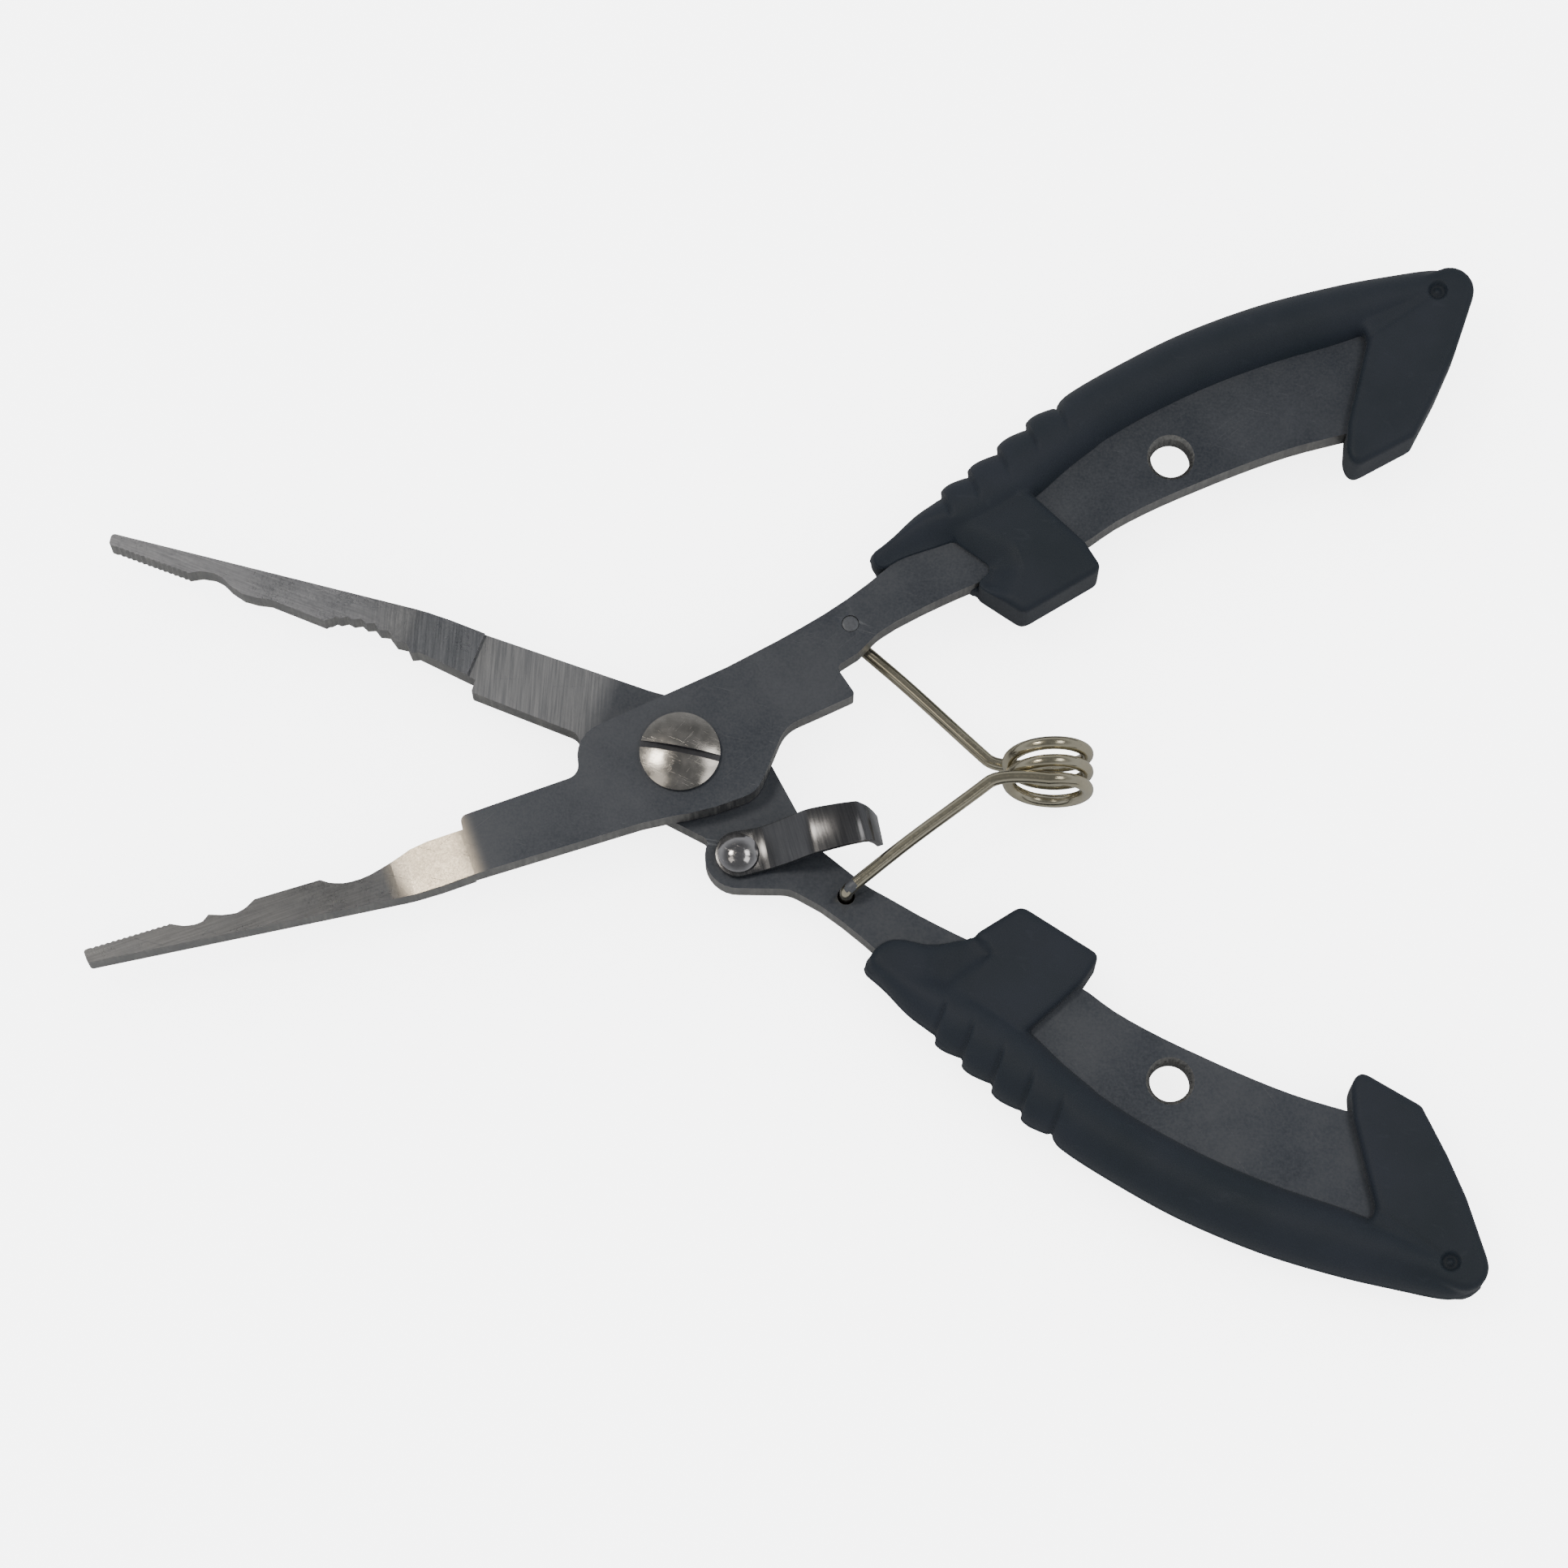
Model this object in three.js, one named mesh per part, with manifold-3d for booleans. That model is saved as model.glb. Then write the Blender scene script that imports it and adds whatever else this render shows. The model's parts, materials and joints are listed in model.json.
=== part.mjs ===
// Fishing pliers: two stamped plates crossed on a slotted screw, with needle jaws, a side
// cutter, a swinging latch, a return spring and soft over-moulded grips.
//
// Millimetres, +Z up. The pliers lie flat and sprung open. +X runs along the middle line towards
// the handles, and the jaws point to -X. Each half is drawn closed, about the pivot's axis and the
// middle plane between the plates, with its handle on the +Y side and its jaw on the -Y side. It
// is then turned open about the pivot. The rear half is the same half turned over about the X
// axis. Last of all, the whole tool is moved so that the origin is the middle of its box.

import * as THREE from 'three';
import { mergeVertices } from 'three/addons/utils/BufferGeometryUtils.js';
import { ConvexGeometry } from 'three/addons/geometries/ConvexGeometry.js';
import Module from 'manifold-3d';

const wasm = await Module();
wasm.setup();

// ---- driving dimensions ----------------------------------------------------------------

const GAP = 0.3; // clearance kept around every piece that another one touches
const OPEN_ANGLE = 20.5; // degrees that each half is turned from closed to fully sprung open
const PIVOT_X = -15.471; // where the pivot's axis stands once the box is centred

const PLATE_THICKNESS = 4;
const INNER_FACE = GAP / 2; // the height of a plate's inner face in its own half
const OUTER_FACE = INNER_FACE + PLATE_THICKNESS;
const PLATE_MIDDLE = (INNER_FACE + OUTER_FACE) / 2;

const JAW_TIP_X = -88.6;
const JAW_THICKNESS = 4; // the jaws are joggled so that both are centred on z = 0
const JOGGLE_END_X = -43;
const JOGGLE_START_X = -32;
const GRIP_LINE = -GAP / 2; // the jaws stop just short of y = 0, but for their tips, which meet first
const CUTTER_OVERLAP = 1.5; // how far a cutting edge passes the middle line when closed

const SHANK_RADIUS = 3;
const SCREW_HEAD_RADIUS = 5.75;
const SCREW_DOME_HEIGHT = 1.4;
const NUT_ACROSS_FLATS = 9.6;
const NUT_THICKNESS = 3;

const LATCH_PIVOT = [12.85, 10.05]; // in the rear half, drawn closed
const LATCH_ANGLE = 12.5; // degrees from +X, with the pliers open
const LATCH_THICKNESS = 1;
const RIVET_SHANK_RADIUS = 1.5;
const RIVET_HEAD_RADIUS = 2.87;

const SPRING_HOLE = [29.25, 9.95]; // in each half, drawn closed
const WIRE_RADIUS = 0.95;
const COIL_CENTRE_X = 52.4;
const COIL_RADIUS = 5.6;
const COIL_HALF_WIDTH = 3.3;
const COIL_LEAN = 0.73; // how far a ring's top leans across its own middle
const COIL_TURNS = 2.5;
const LEG_HEIGHT = 2.9; // where a leg leaves its foot, from the middle plane

const HANG_HOLE = [81.3, 18.2];
const HANG_HOLE_RADIUS = 2.88;

const GRIP_FLANK = 4.4; // half the thickness of the grip's flat guard and hook
const GRIP_ROLL = 5.8; // half the thickness of the rounded roll along the grip's back

// ---- materials -------------------------------------------------------------------------

const finish = (color, roughness, metalness) =>
  new THREE.MeshStandardMaterial({ color, roughness, metalness });
const PLATE_STEEL = finish(0x5b5f64, 0.42, 0.9);
const BRIGHT_STEEL = finish(0x8f8f8c, 0.28, 1);
const SPRING_STEEL = finish(0x9a8f74, 0.25, 1);
const SOFT_RUBBER = finish(0x1d2229, 0.75, 0);

// ---- solids ----------------------------------------------------------------------------

function toSolid(geometry) {
  const bare = geometry.clone();
  bare.deleteAttribute('normal');
  bare.deleteAttribute('uv');
  const merged = mergeVertices(bare, 1e-4);
  const mesh = new wasm.Mesh({
    numProp: 3,
    vertProperties: new Float32Array(merged.attributes.position.array),
    triVerts: new Uint32Array(merged.index.array),
  });
  return new wasm.Manifold(mesh);
}

function toGeometry(solid) {
  const mesh = solid.getMesh();
  const geometry = new THREE.BufferGeometry();
  geometry.setAttribute('position', new THREE.BufferAttribute(mesh.vertProperties, 3));
  geometry.setIndex(new THREE.BufferAttribute(mesh.triVerts, 1));
  geometry.computeVertexNormals();
  return geometry;
}

function piece(name, geometry, material) {
  const mesh = new THREE.Mesh(geometry, material);
  mesh.name = name;
  return mesh;
}

// ---- outlines --------------------------------------------------------------------------

const FACET_ANGLE = Math.PI / 14; // the turn of one facet on a rounded corner

/** Points on an arc, from one angle to another in degrees. */
function arc(centreX, centreY, radius, from, to) {
  const sweep = THREE.MathUtils.degToRad(to - from);
  const start = THREE.MathUtils.degToRad(from);
  const count = Math.ceil(Math.abs(sweep) / FACET_ANGLE);
  const points = [];
  for (let i = 0; i <= count; i++) {
    const angle = start + (sweep * i) / count;
    points.push([centreX + radius * Math.cos(angle), centreY + radius * Math.sin(angle)]);
  }
  return points;
}

/** Points on a smooth curve through the given ones. */
function curve(points, count) {
  const spline = new THREE.SplineCurve(points.map(([x, y]) => new THREE.Vector2(x, y)));
  return spline.getPoints(count).map((p) => [p.x, p.y]);
}

/** One corner [x, y, radius] as the points of its fillet. */
function fillet(before, corner, after) {
  const [x, y, radius] = corner;
  if (!radius) return [[x, y]];
  const at = new THREE.Vector2(x, y);
  const back = new THREE.Vector2(before[0], before[1]).sub(at).normalize();
  const on = new THREE.Vector2(after[0], after[1]).sub(at).normalize();
  const half = Math.acos(THREE.MathUtils.clamp(back.dot(on), -1, 1)) / 2;
  const centre = back.clone().add(on).normalize().multiplyScalar(radius / Math.sin(half)).add(at);
  const start = back.clone().multiplyScalar(radius / Math.tan(half)).add(at).sub(centre);
  const turn = Math.sign(back.cross(on)) * (Math.PI - 2 * half);
  const count = Math.max(1, Math.ceil(Math.abs(turn) / FACET_ANGLE));
  const points = [];
  for (let i = 0; i <= count; i++) {
    const spoke = start.clone().rotateAround(new THREE.Vector2(), (-turn * i) / count);
    points.push([centre.x + spoke.x, centre.y + spoke.y]);
  }
  return points;
}

/** A closed outline of corners, each [x, y] or [x, y, fillet radius], as plain points. */
function rounded(corners) {
  const last = corners.length - 1;
  return corners.flatMap((corner, i) =>
    fillet(corners[i ? i - 1 : last], corner, corners[i < last ? i + 1 : 0]),
  );
}

function toShape(points) {
  return new THREE.Shape(points.map(([x, y]) => new THREE.Vector2(x, y)));
}

/** A flat slab with the given outline, between two heights. */
function slab(points, bottom, top) {
  const options = { depth: top - bottom, bevelEnabled: false };
  const geometry = new THREE.ExtrudeGeometry(toShape(points), options);
  geometry.translate(0, 0, bottom);
  return toSolid(geometry);
}

/** A bar with the given side view (x, z), running across the pliers. */
function sideBar(points, halfWidth) {
  const options = { depth: 2 * halfWidth, bevelEnabled: false };
  const geometry = new THREE.ExtrudeGeometry(toShape(points), options);
  geometry.rotateX(Math.PI / 2);
  geometry.translate(0, halfWidth, 0);
  return toSolid(geometry);
}

/** An upright round cutter or boss, which may taper. */
function post([x, y], bottom, top, bottomRadius, topRadius = bottomRadius) {
  const sides = 32;
  const geometry = new THREE.CylinderGeometry(topRadius, bottomRadius, top - bottom, sides);
  geometry.rotateX(Math.PI / 2);
  geometry.translate(x, y, (bottom + top) / 2);
  return toSolid(geometry);
}

// ---- plates ----------------------------------------------------------------------------

/** Fine cross grooves on the long flat of a gripping face, from the tip towards +X. */
function serrations([fromX, fromY], [toX, toY]) {
  const count = 14;
  const depth = 0.16;
  const points = [];
  for (let i = 0; i < count; i++) {
    const t = i / count;
    const x = THREE.MathUtils.lerp(fromX, toX, t);
    const y = THREE.MathUtils.lerp(fromY, toY, t);
    points.push([x, y]);
    points.push([x + (toX - fromX) / count / 2, y - depth]);
  }
  return points;
}

/** The hollow behind the second flat, cut as a row of teeth that deepen towards the pivot. */
function toothedHollow() {
  const teeth = 7;
  const base = curve([[-54.9, -0.2], [-53.4, -1.4], [-50.2, -2.3], [-46.5, -2.2], [-41.6, -1]], 2 * teeth);
  return base.map(([x, y], i) => [x, i % 2 ? y : y + 0.12 + 0.045 * i]);
}

const FRONT_JAW_EDGE = [
  [JAW_TIP_X, 1.2, 0.4],
  ...serrations([-87.6, 1.25], [-76, 0.85]),
  [-76, 0.85],
  ...curve([[-74.2, -0.1], [-72.6, -0.45], [-71.4, -0.35]], 4),
  [-70.4, 0.3],
  ...curve([[-68.6, -0.4], [-66.6, -0.8], [-65, -0.45]], 4),
  [-63.6, 0.25],
  [-54, GRIP_LINE, 0.4],
  ...curve([[-52.9, -0.95], [-50.8, -1.75], [-47.8, -1.9], [-44.2, -1.2], [-40.6, -0.3]], 9),
  [-38, GRIP_LINE],
];

const REAR_JAW_EDGE = [
  [JAW_TIP_X + 0.3, 0.65, 0.4],
  ...serrations([-87.4, 0.65], [-76, 0.5]),
  [-76, 0.5],
  [-74.4, -0.45, 0.6],
  ...curve([[-72.6, -0.85], [-71.2, -0.7], [-69.6, 0]], 4),
  [-67.4, 0.5, 0.8],
  [-65.4, 0.3, 0.8],
  [-63.4, GRIP_LINE - 0.05],
  ...toothedHollow(),
  [-40.6, -0.8],
];

/** A side cutter's edge, with a corner of the given radius, and the shoulder before the pivot. */
function cutterEdge(endX, cornerRadius) {
  return [
    [endX - 0.15, -0.45],
    [endX, CUTTER_OVERLAP, cornerRadius],
    [-14.4, CUTTER_OVERLAP + 0.15, 2],
    [-13.6, 7.3, 5],
    [-4.9, 8.2, 20],
  ];
}

const HANDLE_OUTER_EDGE = curve(
  [[10.4, 9.7], [20.2, 11.3], [29.1, 13.3], [37.7, 16.3], [46, 20], [55, 23.9], [64, 27.3],
    [74, 29.9], [86, 31.6], [100, 32], [110, 31.4], [119, 30.2]],
  26,
);

const TAIL = [[127, 28.2, 3], [113.4, 11.9, 3]];

const HANDLE_INNER_EDGE = curve(
  [[106.5, 13.1], [99, 13.7], [92, 13.7], [84.3, 13.3], [77, 12.7], [70.5, 11.7], [65, 10.2],
    [59, 9.6], [50, 9.7], [41.6, 9], [35.6, 8.1]],
  26,
);

/** The front plate's notch, which the latch hooks into, and its hook. */
const LATCH_NOTCH = [
  [32.4, 7.3, 6],
  [28.9, 5.5, 1],
  [25.2, 4.6, 0.9],
  [26.4, -0.25, 0.5],
  [21.5, -0.75, 8],
  [15.4, -1.3, 5],
  [8.4, -9.2, 4.5],
  [0, -9.3, 20],
];

/** The rear plate is cut straight across behind the pivot. */
const REAR_SHOULDER = [
  [31.4, 7.5, 8],
  [22.6, 4.7, 6],
  [9.9, -6.2, 3.5],
  [2, -9.4, 8],
];

/** The ear on the rear plate that carries the latch. */
const EAR_RADIUS = 4.75;
const LATCH_EAR = [
  [0.9, 8.6],
  [8.1, 9.4, 1],
  ...arc(...LATCH_PIVOT, EAR_RADIUS, 172, 68),
  [21.4, 11.9, 5],
];

/** A jaw's outer edge, out to the given height at its tip. */
function jawBack(tipY) {
  return [
    [-6, -8.1, 30],
    [-40, -6.95, 40],
    [JAW_TIP_X, tipY, 0.6],
  ];
}

/** The side view shared by both plates: a flat plate whose jaw is joggled to the middle. */
function plateProfile() {
  const half = JAW_THICKNESS / 2;
  const stepHeight = 0.65; // where the cutter's ground face ends, the jaw stands this proud
  const stepX = -33.1; // clear of both cutters' ends when the tool is closed
  return rounded([
    [140, INNER_FACE],
    [140, OUTER_FACE],
    [JOGGLE_START_X, OUTER_FACE, 12],
    [JOGGLE_END_X, half, 10],
    [JAW_TIP_X - 2, half],
    [JAW_TIP_X - 2, -half],
    [JOGGLE_END_X, -half, 10],
    [stepX, INNER_FACE - stepHeight],
    [stepX, INNER_FACE],
  ]);
}

/** A wedge that takes a bevel off a jaw's outer edge, widest at the tip; side is 1 or -1. */
function jawBevel(side, tipY) {
  const bevel = 1.3;
  const face = (JAW_THICKNESS / 2) * side;
  const corners = (x, backY, width) => [
    new THREE.Vector3(x, backY - 1, face + side),
    new THREE.Vector3(x, backY - 1, face - side * (width - 1)),
    new THREE.Vector3(x, backY + width + 1, face + side),
  ];
  const atTip = corners(JAW_TIP_X - 2, tipY + 0.25, bevel);
  const atRoot = corners(-44, -6.75, 0);
  return toSolid(new ConvexGeometry([...atTip, ...atRoot]));
}

/** A round hole with a small countersink on both faces. */
function hangHole() {
  const chamfer = 0.55;
  const [bottom, top] = [INNER_FACE, OUTER_FACE];
  return post(HANG_HOLE, bottom - 1, top + 1, HANG_HOLE_RADIUS)
    .add(post(HANG_HOLE, top - chamfer, top + 1, HANG_HOLE_RADIUS, HANG_HOLE_RADIUS + chamfer + 1))
    .add(post(HANG_HOLE, bottom - 1, bottom + chamfer, HANG_HOLE_RADIUS + chamfer + 1, HANG_HOLE_RADIUS));
}

function plate(outline, tipY, holes) {
  const across = 45;
  let solid = slab(rounded(outline), -5, 5).intersect(sideBar(plateProfile(), across));
  const shankBore = post([0, 0], -6, 6, SHANK_RADIUS + GAP);
  const springBore = post(SPRING_HOLE, -6, 6, WIRE_RADIUS + GAP);
  const cuts = [jawBevel(1, tipY), jawBevel(-1, tipY), hangHole(), shankBore, springBore, ...holes];
  for (const cut of cuts) solid = solid.subtract(cut);
  return toGeometry(solid);
}

function frontPlate() {
  const tipY = -0.7;
  const outline = [
    ...FRONT_JAW_EDGE,
    ...cutterEdge(-32.5, 1),
    ...HANDLE_OUTER_EDGE,
    ...TAIL,
    ...HANDLE_INNER_EDGE,
    ...LATCH_NOTCH,
    ...jawBack(tipY),
  ];
  return piece('front_plate', plate(outline, tipY, []), PLATE_STEEL);
}

function rearPlate() {
  const tipY = -1.05;
  const beyondEar = HANDLE_OUTER_EDGE.filter(([x]) => x > 25);
  const outline = [
    ...REAR_JAW_EDGE,
    ...cutterEdge(-31.7, 0.3),
    ...LATCH_EAR,
    ...beyondEar,
    ...TAIL,
    ...HANDLE_INNER_EDGE,
    ...REAR_SHOULDER,
    ...jawBack(tipY),
  ];
  const rivetBore = post(LATCH_PIVOT, -6, 6, RIVET_SHANK_RADIUS + GAP);
  return piece('rear_plate', plate(outline, tipY, [rivetBore]), PLATE_STEEL);
}

// ---- grips -----------------------------------------------------------------------------

const RIB_NOTCHES = [[48, 23.6], [52.7, 25.4], [57.9, 27.3], [63.1, 29.4], [68.3, 31.2]];

/** Shingle-like ribs between neighbouring notches: steep at the front, falling to the rear. */
function ribs() {
  const height = 1;
  const steps = 5;
  const points = [];
  for (let i = 0; i + 1 < RIB_NOTCHES.length; i++) {
    const from = new THREE.Vector2(...RIB_NOTCHES[i]);
    const along = new THREE.Vector2(...RIB_NOTCHES[i + 1]).sub(from);
    const out = new THREE.Vector2(-along.y, along.x).normalize();
    for (let k = 0; k < steps; k++) {
      const t = k / steps;
      const rise = height * Math.sin(Math.PI * t ** 0.7);
      points.push([from.x + along.x * t + out.x * rise, from.y + along.y * t + out.y * rise]);
    }
  }
  points.push(RIB_NOTCHES.at(-1));
  return points;
}

const GRIP_BACK = [
  [36.6, 15.7, 0.8],
  [36.4, 19.2, 2.5],
  ...curve([[40.6, 21.2], [43.6, 22.7], [46, 23.6]], 3),
  ...ribs(),
  ...curve([[70.4, 32.5], [78, 34.1], [89, 35.7], [101, 36.1], [112, 35.3], [121, 34], [126.5, 33]], 12),
  [133.4, 31.4, 4.2],
  ...curve([[131.4, 26.6], [125.6, 19.2], [121, 14.4]], 3),
  [115.4, 8.9, 2.2],
];

const GRIP_FRONT = [
  [105.6, 7.5, 1.1],
  [104.9, 10, 1],
  [107.1, 13.4],
  [114.4, 25.3, 1.2],
  ...curve([[107, 26], [99, 26.4], [91, 26.2], [82.5, 25.3], [74, 23.6], [66.5, 21.3]], 10),
  [60.6, 18.6, 0.8],
  [65, 9.6],
  [65.9, 5.2, 2.4],
  [52.9, 2.6, 0.7],
  [48.1, 9.1],
  [51.4, 10.9, 1.4],
  [46.6, 16.2, 4],
];

/** The roll along the grip's back: an oval section swept along its middle line. */
function gripRoll() {
  const path = new THREE.CatmullRomCurve3(
    [[38, 17.6], [46, 19.9], [53.5, 21.5], [60, 23.3], [69.5, 27], [79.2, 29.4], [89.7, 30.9],
      [100.8, 31.2], [111.3, 30.7], [120, 30.1], [126.8, 29.4]].map(([x, y]) => new THREE.Vector3(x, y, 0)),
  );
  const halfWidth = 4.95;
  const section = new THREE.Shape();
  section.absellipse(0, 0, halfWidth, GRIP_ROLL, 0, 2 * Math.PI, false, 0);
  const options = { steps: 16, curveSegments: 10, extrudePath: path, bevelEnabled: false };
  return toSolid(new THREE.ExtrudeGeometry(section, options));
}

/** An outline moved outwards by a distance, for a clearance pocket. */
function grown(points, distance) {
  const last = points.length - 1;
  return points.map(([x, y], i) => {
    const before = points[i ? i - 1 : last];
    const after = points[i < last ? i + 1 : 0];
    const back = new THREE.Vector2(x - before[0], y - before[1]).normalize();
    const on = new THREE.Vector2(after[0] - x, after[1] - y).normalize();
    const normal = new THREE.Vector2(-(back.y + on.y), back.x + on.x).normalize();
    const stretch = distance / Math.max(0.3, Math.sqrt((1 + back.dot(on)) / 2));
    return [x + normal.x * stretch, y + normal.y * stretch];
  });
}

/** The soft grip, drawn around z = 0, with a pocket for the plate inside it. */
function grip(name) {
  const outline = rounded([...GRIP_BACK, ...GRIP_FRONT]);
  const roll = gripRoll().intersect(slab(outline, -GRIP_ROLL - 1, GRIP_ROLL + 1));
  const beyond = ([x]) => x > 30;
  const tang = rounded([...HANDLE_OUTER_EDGE.filter(beyond), ...TAIL, ...HANDLE_INNER_EDGE.filter(beyond)]);
  const pocketHalf = PLATE_THICKNESS / 2 + GAP;
  const pocket = slab(grown(tang, GAP), -pocketHalf, pocketHalf);
  const solid = slab(outline, -GRIP_FLANK, GRIP_FLANK).add(roll).subtract(pocket);
  const mesh = piece(name, toGeometry(solid), SOFT_RUBBER);
  mesh.position.z = PLATE_MIDDLE;
  return mesh;
}

// ---- pivot screw and nut ---------------------------------------------------------------

/** A piece turned about Z, from a profile of [radius, height] that starts and ends on the axis. */
function turned(profile, segments) {
  const points = profile.map(([radius, height]) => new THREE.Vector2(radius, height));
  const geometry = new THREE.LatheGeometry(points, segments);
  geometry.rotateX(Math.PI / 2);
  return toSolid(geometry);
}

/** A shallow dome from its rim at the given height up to the axis, as profile points. */
function dome(radius, rimHeight, rise, count) {
  const sphere = (radius * radius + rise * rise) / (2 * rise);
  const points = [];
  for (let i = 0; i <= count; i++) {
    const r = radius * (1 - i / count);
    points.push([r, rimHeight + rise - sphere + Math.sqrt(sphere * sphere - r * r)]);
  }
  return points;
}

function pivotScrew() {
  const seat = OUTER_FACE + GAP;
  const rim = 0.35;
  const solid = turned(
    [
      [0, -OUTER_FACE - GAP - NUT_THICKNESS],
      [SHANK_RADIUS, -OUTER_FACE - GAP - NUT_THICKNESS],
      [SHANK_RADIUS, seat],
      [SCREW_HEAD_RADIUS, seat],
      ...dome(SCREW_HEAD_RADIUS, seat + rim, SCREW_DOME_HEIGHT - rim, 5),
    ],
    40,
  );
  const slotWidth = 1.1;
  const slotDepth = 1;
  const slotBottom = seat + SCREW_DOME_HEIGHT - slotDepth;
  const slot = new THREE.BoxGeometry(14, slotWidth, 4);
  slot.translate(0, 0, slotBottom + 2);
  slot.rotateZ(THREE.MathUtils.degToRad(-4));
  return piece('pivot_screw', toGeometry(solid.subtract(toSolid(slot))), BRIGHT_STEEL);
}

function pivotNut() {
  const top = -OUTER_FACE - GAP;
  const hexagon = new THREE.CylinderGeometry(
    NUT_ACROSS_FLATS / Math.sqrt(3),
    NUT_ACROSS_FLATS / Math.sqrt(3),
    NUT_THICKNESS,
    6,
  );
  hexagon.rotateX(Math.PI / 2);
  hexagon.translate(0, 0, top - NUT_THICKNESS / 2);
  const bottom = top - NUT_THICKNESS;
  const chamfer = post([0, 0], bottom, top + 1, NUT_ACROSS_FLATS / 2, NUT_ACROSS_FLATS / 2 + NUT_THICKNESS + 1);
  const bore = post([0, 0], bottom - 1, top + 1, SHANK_RADIUS + GAP);
  return piece('pivot_nut', toGeometry(toSolid(hexagon).intersect(chamfer).subtract(bore)), BRIGHT_STEEL);
}

// ---- latch -----------------------------------------------------------------------------

/** A thin strip's side outline, from its middle line and its thickness. */
function ribbon(middle, thickness) {
  const offset = (side) =>
    middle.map(([x, z], i) => {
      const before = middle[Math.max(0, i - 1)];
      const after = middle[Math.min(middle.length - 1, i + 1)];
      const along = new THREE.Vector2(after[0] - before[0], after[1] - before[1]).normalize();
      return [x - (along.y * side * thickness) / 2, z + (along.x * side * thickness) / 2];
    });
  return [...offset(1), ...offset(-1).reverse()];
}

/** The latch strip, drawn along +X from its rivet, lying on z = 0. */
function latchStrip() {
  const eyeRadius = 3.3;
  const half = LATCH_THICKNESS / 2;
  const middle = [
    [-5, half],
    [3.1, half],
    ...curve([[4.3, half + 0.35], [7.3, 2.7], [10, 4.8], [11.6, 5.3], [14.8, 5.75], [17.6, 5.6]], 16),
    ...curve([[18.5, 5.05], [19.3, 3.4], [20, 1]], 5),
  ];
  const outline = [
    ...arc(0, 0, eyeRadius, 270, 90),
    [4, 3.15],
    [11.2, 3.25],
    [17.6, 2.9],
    [18.8, 2.3],
    [22, 0.7],
    [22, -2.9],
    [18.8, -3],
    [11.2, -3.25],
    [4, -3.15],
  ];
  const bore = post([0, 0], -1, 3, RIVET_SHANK_RADIUS + GAP);
  const solid = slab(outline, -1, 8).intersect(sideBar(ribbon(middle, LATCH_THICKNESS), 5)).subtract(bore);
  return piece('latch_strip', toGeometry(solid), BRIGHT_STEEL);
}

/** The latch's rivet, drawn with the rear plate's inner face at z = 0. */
function latchRivet() {
  const headSeat = 2 * GAP + LATCH_THICKNESS;
  const tailSeat = -PLATE_THICKNESS - GAP;
  const tailRadius = 2.6;
  const tail = dome(tailRadius, 0, 0.7, 4).map(([radius, height]) => [radius, tailSeat - 0.2 - height]);
  const solid = turned(
    [
      ...tail.reverse(),
      [tailRadius, tailSeat],
      [RIVET_SHANK_RADIUS, tailSeat],
      [RIVET_SHANK_RADIUS, headSeat],
      [RIVET_HEAD_RADIUS, headSeat],
      ...dome(RIVET_HEAD_RADIUS, headSeat + 0.2, 0.9, 5),
    ],
    24,
  );
  return piece('latch_rivet', toGeometry(solid), BRIGHT_STEEL);
}

// ---- return spring ---------------------------------------------------------------------

/** Half of the coil: from the leg's side of the coil to the gap at the middle turn. */
class HalfCoil extends THREE.Curve {
  getPoint(t, target = new THREE.Vector3()) {
    const endGap = 0.02; // the part of a half left open, so that the two halves stay apart
    const angle = Math.PI * COIL_TURNS * t * (1 - endGap);
    const y = COIL_LEAN * Math.cos(angle) - COIL_HALF_WIDTH * (1 - t * (1 - endGap));
    const x = COIL_CENTRE_X + COIL_RADIUS * Math.sin(angle);
    return target.set(x, y, COIL_RADIUS * Math.cos(angle));
  }
}

/** The wire from a hole in the rear plate along its leg and round half of the coil. */
function springHalf(name) {
  const foot = new THREE.Vector2(SPRING_HOLE[0], -SPRING_HOLE[1]);
  foot.rotateAround(new THREE.Vector2(), THREE.MathUtils.degToRad(-OPEN_ANGLE));
  const point = (x, y, z) => new THREE.Vector3(x, y, z);
  const bend = point(foot.x, foot.y, LEG_HEIGHT);
  const coilStart = new HalfCoil().getPoint(0);
  const elbow = point(COIL_CENTRE_X - 6.2, -1.7, COIL_RADIUS - 0.35);
  const towards = (from, to, distance) => from.clone().lerp(to, distance / from.distanceTo(to));
  const footEnd = point(foot.x, foot.y, -OUTER_FACE + 0.2);
  const bendStart = towards(bend, footEnd, 1.3);
  const bendEnd = towards(bend, elbow, 1.6);
  const elbowStart = towards(elbow, bend, 2.2);
  const wire = new THREE.CurvePath();
  wire.add(new THREE.LineCurve3(footEnd, bendStart));
  wire.add(new THREE.QuadraticBezierCurve3(bendStart, bend, bendEnd));
  wire.add(new THREE.LineCurve3(bendEnd, elbowStart));
  wire.add(new THREE.QuadraticBezierCurve3(elbowStart, elbow, coilStart));
  wire.add(new HalfCoil());
  const section = new THREE.Shape();
  section.absarc(0, 0, WIRE_RADIUS, 0, 2 * Math.PI, false);
  const options = { steps: 68, curveSegments: 5, extrudePath: wire, bevelEnabled: false };
  const solid = toSolid(new THREE.ExtrudeGeometry(section, options));
  return piece(name, toGeometry(solid), SPRING_STEEL);
}

// ---- assembly --------------------------------------------------------------------------

function turnedOpen(degrees, ...children) {
  const half = new THREE.Group();
  half.rotation.z = THREE.MathUtils.degToRad(degrees);
  half.add(...children);
  return half;
}

function turnedOver(...children) {
  const group = new THREE.Group();
  group.rotation.x = Math.PI;
  group.add(...children);
  return group;
}

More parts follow.
